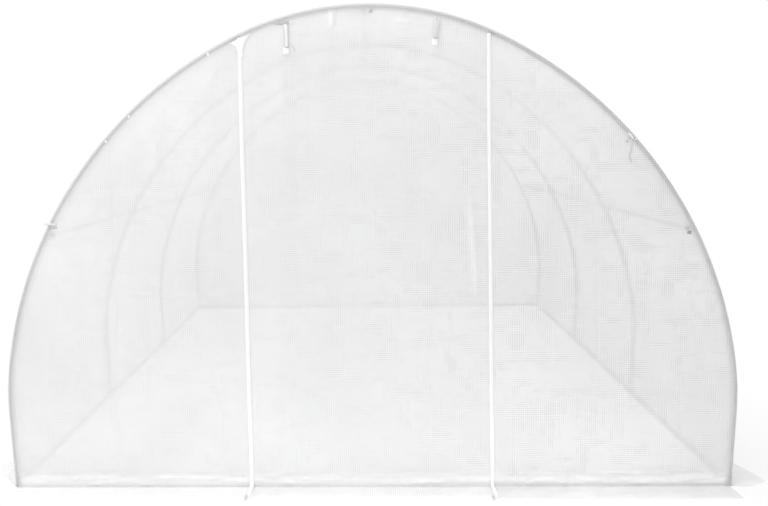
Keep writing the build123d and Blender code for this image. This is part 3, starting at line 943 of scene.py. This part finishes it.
def toggle_form(centre, width, height, depth, tilt):
    """A rounded toggle, a little wider at its foot."""
    rings, sides, roundness = 15, 20, 2.6
    ring, angle = ring_places(rings, sides)
    rise = -1 + 2 * ring / (rings - 1)
    across, deep = np.cos(angle), np.sin(angle)
    bulk = (abs(across) ** roundness + abs(deep) ** roundness) ** (-1 / roundness)
    half = 0.5 * (1 - abs(rise) ** 5) ** 0.5 * (1 - 0.1 * rise) * bulk
    x, z = width * half * across, 0.5 * height * rise
    x, z = x * cos(tilt) - z * sin(tilt), x * sin(tilt) + z * cos(tilt)
    return grid_points(x, depth * half * deep, z, centre), tube_faces(rings, sides)


def make_tab(name, low, high, height, material):
    """The tab that a strap hangs from, with a box and a cross of stitches."""
    line = []
    for k in range(len(TAB_WIDTHS)):
        share = k / (len(TAB_WIDTHS) - 1)
        line.append((low + (high - low) * share, FRONT_FACE - 0.0014, height + 0.001 * sin(pi * share)))
    band(f"{name}_tab", line, UP, (0, FRONT, 0), TAB_WIDTHS, 0.0016, material)
    left, right = low + 0.003, high - 0.004
    corner = min(right, left + 0.02)
    rows = []
    for stop, start_side, stop_side in ((right, -1, -1), (right, 1, 1), (corner, -1, 1), (corner, 1, -1)):
        ends = ((left, start_side), (stop, stop_side))
        seam = [(place, FRONT_FACE - 0.0022, height + 0.0054 * rise) for place, rise in ends]
        rows.append(stitch_row(seam, (0, FRONT, 0)))
    new_piece(f"{name}_stitches", *join_parts(rows), thread, "webbing", smooth=False)


def make_eyelet(name, x, z):
    """A white ring pressed into the film."""
    around_count, turn_count = 24, 8
    ring, turn = ring_places(around_count, turn_count)
    around = 2 * pi * ring / around_count
    out, high = 0.0034 + 0.0016 * np.cos(turn), 0.002 + 0.0012 * np.sin(turn)
    vertices = grid_points(out * np.cos(around), FRONT * high, out * np.sin(around), (x, FRONT_FACE, z))
    faces = grid_faces(around_count, turn_count, closed=True)
    last = (around_count - 1) * turn_count
    for j in range(turn_count):
        after = (j + 1) % turn_count
        faces.append([last + j, last + after, after, j])
    new_piece(f"{name}_eyelet", vertices, faces, toggle_plastic, "toggle")


def make_strap(name, top, foot, width, webbing, edges):
    """A strap from top to foot, both (x, z), with a toggle. edges lists its sides and their bindings, dark
    bands that also stand in for the strap's shadow at its edges.
    """
    line, widths = [], []
    for fall in np.linspace(0, 1, 25).tolist():
        off = 0.0018 + 0.004 * sin(pi * fall) ** 0.8
        x = top[0] + (foot[0] - top[0]) * fall + 0.001 * sin(5 * fall)
        line.append((x, FRONT_FACE - off, top[1] + (foot[1] - top[1]) * fall))
        widths.append(width - 0.002 * sin(pi * fall))
    strap = upright_band(f"{name}_strap", line, widths, 0.0014, webbing)
    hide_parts("roll_up_straps")
    for side_name, hand, binding_and_shade in edges:
        edge_line = [(p[0] + hand * (w / 2 - 0.0005), p[1] - 0.0003, p[2]) for p, w in zip(line, widths)]
        upright_band(f"{name}_edge_{side_name}", edge_line, 0.003, 0.0018, binding_and_shade)
    x, y, z = line[-1]
    form = toggle_form((x - 0.001, y - 0.0032, z - 0.0115), 0.024, 0.033, 0.0085, 0.05)
    toggle = new_piece(f"{name}_toggle", *form, toggle_plastic, "toggle")
    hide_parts("strap_toggles")
    angles = np.linspace(0, pi, 9)
    loop = [(x + 0.0075 * cos(a), y - 0.004 - 0.005 * sin(a), z + 0.002) for a in angles]
    out = [(cos(a), -sin(a), 0.0) for a in angles]
    band(f"{name}_loop", loop, UP, out, 0.004, 0.0012, edge_binding)


make_tab("left", *LEFT_TAB, tab_webbing)
make_tab("right", *RIGHT_TAB, soft_webbing)
make_eyelet("left", LEFT_TAB[1] + 0.0040, LEFT_TAB[2])
# The darker binding on the right edge, away from the light, is painted shadow
both_shaded_edges = (("left", -1, pale_binding), ("right", 1, edge_binding))
make_strap("left", *LEFT_STRAP, 0.0165, strap_webbing, both_shaded_edges)
make_strap("right", *RIGHT_STRAP, 0.0220, film_webbing, (("right", 1, pale_binding),))
tail_x, tail_z = LEFT_STRAP[1]
tail_points = [(tail_x + dx, FRONT_FACE - off, tail_z + dz) for dx, off, dz in LEFT_TAIL]
upright_band("left_tail", smooth_line(tail_points, 12), 0.0042, 0.0010, pale_binding)


# Ties on the end hoops: each one's side, height, width, reach inwards, reach round the hoop, and look
TIES = [
    (-1, 1.113, 0.010, 0.010, 1.5, soft_webbing),
    (-1, 1.450, 0.008, 0.009, 0.15, tie_cloth),
    (-1, 1.550, 0.008, 0.009, 0.15, tie_cloth),
    (-1, 1.795, 0.010, 0.012, 0.15, tie_cloth),
    (1, 1.425, 0.006, 0.000, 1.2, tie_cloth),
]
HANGING_TIE_HEIGHTS = (1.453, 1.430)
HANGING_TIE_WIDTHS = [0.005, 0.007, 0.009, 0.009, 0.009, 0.009, 0.009, 0.007, 0.005]
HANGING_TIE_KNOTS = [(-0.018, 0.008, 0.0115), (-0.027, -0.008, 0.0105)]
HANGING_TIE_TAIL = [
    (-0.006, 0.002), (-0.009, -0.014), (-0.009, -0.045), (-0.016, -0.058), (-0.016, -0.075), (-0.008, -0.091),
]


def make_tie(name, end, across, width, reach, wrap, material):
    """A tie from the end wall over the cover's edge, as far round the hoop as wrap says."""
    ring = HOOP_INSET + 0.0012
    inward = reach * np.linspace(1, 0, 5, endpoint=False)
    turn = np.linspace(0, wrap, 8)
    inset = HOOP_INSET + np.concatenate([inward, -ring * np.sin(turn)])
    y = np.concatenate([np.full(5, HALF_LENGTH + 0.0008), HOOP_LINE + ring * np.cos(turn)])
    x, z, normal_x, normal_z = arch(across, inset)
    line = grid_points(x, end * y, z)
    turn = np.pad(turn, (5, 0))
    normals = grid_points(normal_x * np.sin(turn), end * np.cos(turn), normal_z * np.sin(turn))
    band(name, line, grid_points(normal_z, 0, -normal_x), normals, width, 0.0011, material)


def knot_form(centre, size, flat=1.0):
    """A small knot: a ball drawn in by the turns of its cord, with its height given by flat."""
    rings, sides = 12, 16
    ring, angle = ring_places(rings, sides)
    rise = pi * (ring + 0.5) / rings
    bulk = 0.5 * size * (1 + 0.16 * np.sin(2 * angle + 3 * rise))
    out, high = bulk * np.sin(rise), bulk * np.cos(rise)
    vertices = grid_points(out * np.cos(angle), 0.45 * out * np.sin(angle), flat * high, centre)
    return vertices, tube_faces(rings, sides)


def make_hanging_tie(end):
    """The loose tie at the right shoulder: a band along the hoop, two knots and a hanging tail."""
    name = f"{END_NAMES[end]}_hanging_tie"
    face = end * HALF_LENGTH
    start, stop = (across_at(height, 1) for height in HANGING_TIE_HEIGHTS)
    x, z, _, _ = arch(np.linspace(start, stop, len(HANGING_TIE_WIDTHS)), HOOP_INSET + 0.002)
    line = grid_points(x, face + end * 0.0022, z)
    way = line[-1] - line[0]
    out = (0, end, 0)
    side = np.cross(way / np.linalg.norm(way), out)
    band(f"{name}_band", line, side, out, HANGING_TIE_WIDTHS, 0.0016, tie_cloth)
    foot_x, _, foot_z = line[-1]
    knots = []
    for dx, dz, size in HANGING_TIE_KNOTS:
        knots.append(knot_form((foot_x + dx, face + end * 0.004, foot_z + dz), size))
    new_piece(f"{name}_knots", *join_parts(knots), edge_binding, "webbing")
    tail = [(foot_x + dx, face + end * 0.0035, foot_z + dz) for dx, dz in HANGING_TIE_TAIL]
    upright_band(f"{name}_tail", smooth_line(tail, 30), 0.0056, 0.0012, tail_webbing)


for end in END_NAMES:
    for number, (side, height, *form) in enumerate(TIES):
        make_tie(f"{END_NAMES[end]}_tie_{number + 1}", end, across_at(height, side), *form)
for end in END_NAMES:
    make_hanging_tie(end)


# Knots on the end walls near the purlins, each with its place, size, flatness and look
KNOTS = {
    "ridge": (0.0275, 1.9400, 0.0160, 1.0, edge_binding),
    "side": (1.2875, 1.0450, 0.0185, 0.7, plug_plastic),
}
# Level ties beside the left purlin, each from low to high x with its height, width and look
LEVEL_TIES = {
    "strip": (-1.3100, -1.2600, 1.1060, 0.0085, soft_webbing),
    "cord": (-1.2950, -1.2590, 1.0930, 0.0060, tab_webbing),
}
for end, end_name in END_NAMES.items():
    for label, (x, z, size, flat, look) in KNOTS.items():
        form = knot_form((x, end * (HALF_LENGTH + 0.001), z), size, flat)
        new_piece(f"{end_name}_{label}_knot", *form, look, "fitting")
    for label, (low, high, z, width, look) in LEVEL_TIES.items():
        y = end * (HALF_LENGTH + 0.0016)
        line = [(low + (high - low) * k / 6, y, z + 0.0006 * sin(k)) for k in range(7)]
        band(f"{end_name}_tie_{label}", line, UP, (0, end, 0), width, 0.0012, look)


# Tubes, fittings and sliders keep the model's own solids
for node_name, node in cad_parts.items():
    if node.hide_render:
        continue
    if "fitting" in node_name:
        look = cast_steel
    elif "slider" in node_name:
        look = slider_metal
    else:
        look = steel
    node.data.materials.clear()
    node.data.materials.append(look)


# Studio: pale floor, even light and four soft lamps
FLOOR_REACH = 60.0
SHADOW_REACH = 0.5
# Each lamp's name, place, target, size, watts and, for a level strip, its height
LAMPS = [
    ("key_lamp", (-5.5, -5.5, 6.0), (0, -1.0, 0.8), 5.0, 216.0, None),
    ("top_lamp", (0.0, -3.5, 6.0), (0, -1.5, 0.0), 5.0, 70.0, None),
    ("low_lamp_left", (-0.95, -2.38, 0.10), (-0.95, -2.0, 0.06), 1.1, 0.16, 0.08),
    ("low_lamp_right", (0.55, -2.38, 0.10), (0.55, -2.0, 0.06), 1.9, 0.62, 0.08),
]


def floor_material():
    """Matt white that keeps the shadow near the greenhouse, and plain white away from it."""
    material, tree = nodes_of("studio_floor")
    split = split_of(tree, object_place(tree))
    past = []
    for k, half in enumerate((HALF_WIDTH, HALF_LENGTH)):
        past.append(math_node(tree, "SUBTRACT", math_node(tree, "ABSOLUTE", split[k]), half + SKIRT_WIDTH))
    away = math_node(tree, "MAXIMUM", *past)
    white_share = map_range(tree, away, 0.0, SHADOW_REACH, 0.7, 1.0)
    matt = add_node(tree, "BsdfDiffuse", Color=grey(0.985))
    white = add_node(tree, "Emission", Color=grey(1.0), Strength=1.0)
    share = times(tree, add_node(tree, "LightPath").outputs["Is Camera Ray"], white_share)
    show(tree, mix_shaders(tree, share, matt, white))
    return material


def make_floor():
    mesh = bpy.data.meshes.new("floor")
    corners = [(a * FLOOR_REACH, b * FLOOR_REACH, 0) for a, b in CORNERS]
    mesh.from_pydata(corners, [], [(0, 1, 2, 3)])
    mesh.materials.append(floor_material())
    new_object("floor", mesh)


def make_world():
    """Even grey light, with white behind the greenhouse and in gloss and glass."""
    world = bpy.data.worlds.new("studio")
    bpy.context.scene.world = world
    world.use_nodes = True
    tree = world.node_tree
    tree.nodes.clear()
    soft = add_node(tree, "Background", Color=grey(0.685), Strength=1.0)
    white = add_node(tree, "Background", Color=grey(1.0), Strength=1.0)
    path = add_node(tree, "LightPath").outputs
    seen = math_node(tree, "MAXIMUM", path["Is Camera Ray"], path["Is Glossy Ray"])
    seen = math_node(tree, "MAXIMUM", seen, path["Is Transmission Ray"])
    show(tree, mix_shaders(tree, seen, soft, white), "OutputWorld")


def make_lamp(name, place, target, size, watts, strip_height):
    """A soft lamp: a disc, or a level strip where a strip height is given."""
    lamp = bpy.data.lights.new(name, "AREA")
    lamp.shape = "RECTANGLE" if strip_height else "DISK"
    lamp.size = size
    if strip_height:
        lamp.size_y = strip_height
    lamp.energy = watts
    holder = new_object(name, lamp)
    holder.location = place
    way = Vector(target) - Vector(place)
    holder.rotation_euler = way.to_track_quat("-Z", "Y").to_euler()
    holder.visible_camera = False


def make_camera():
    """The camera, turned from level along +Y by yaw to the right, pitch down and roll."""
    data = bpy.data.cameras.new("camera")
    data.sensor_width = SENSOR_WIDTH
    data.lens = FOCAL_PIXELS * SENSOR_WIDTH / IMAGE_WIDTH
    data.shift_x, data.shift_y = (pixels / IMAGE_WIDTH for pixels in CAMERA_SHIFT_PIXELS)
    camera = new_object("camera", data)
    turn = Matrix.Translation(CAMERA_PLACE)
    for angle, axis in ((-CAMERA_YAW, "Z"), (90 - CAMERA_PITCH, "X"), (CAMERA_ROLL, "Z")):
        turn = turn @ Matrix.Rotation(radians(angle), 4, axis)
    camera.matrix_world = turn
    bpy.context.scene.camera = camera


make_floor()
make_world()
for lamp_form in LAMPS:
    make_lamp(*lamp_form)
make_camera()
bpy.context.scene.view_settings.view_transform = "Standard"
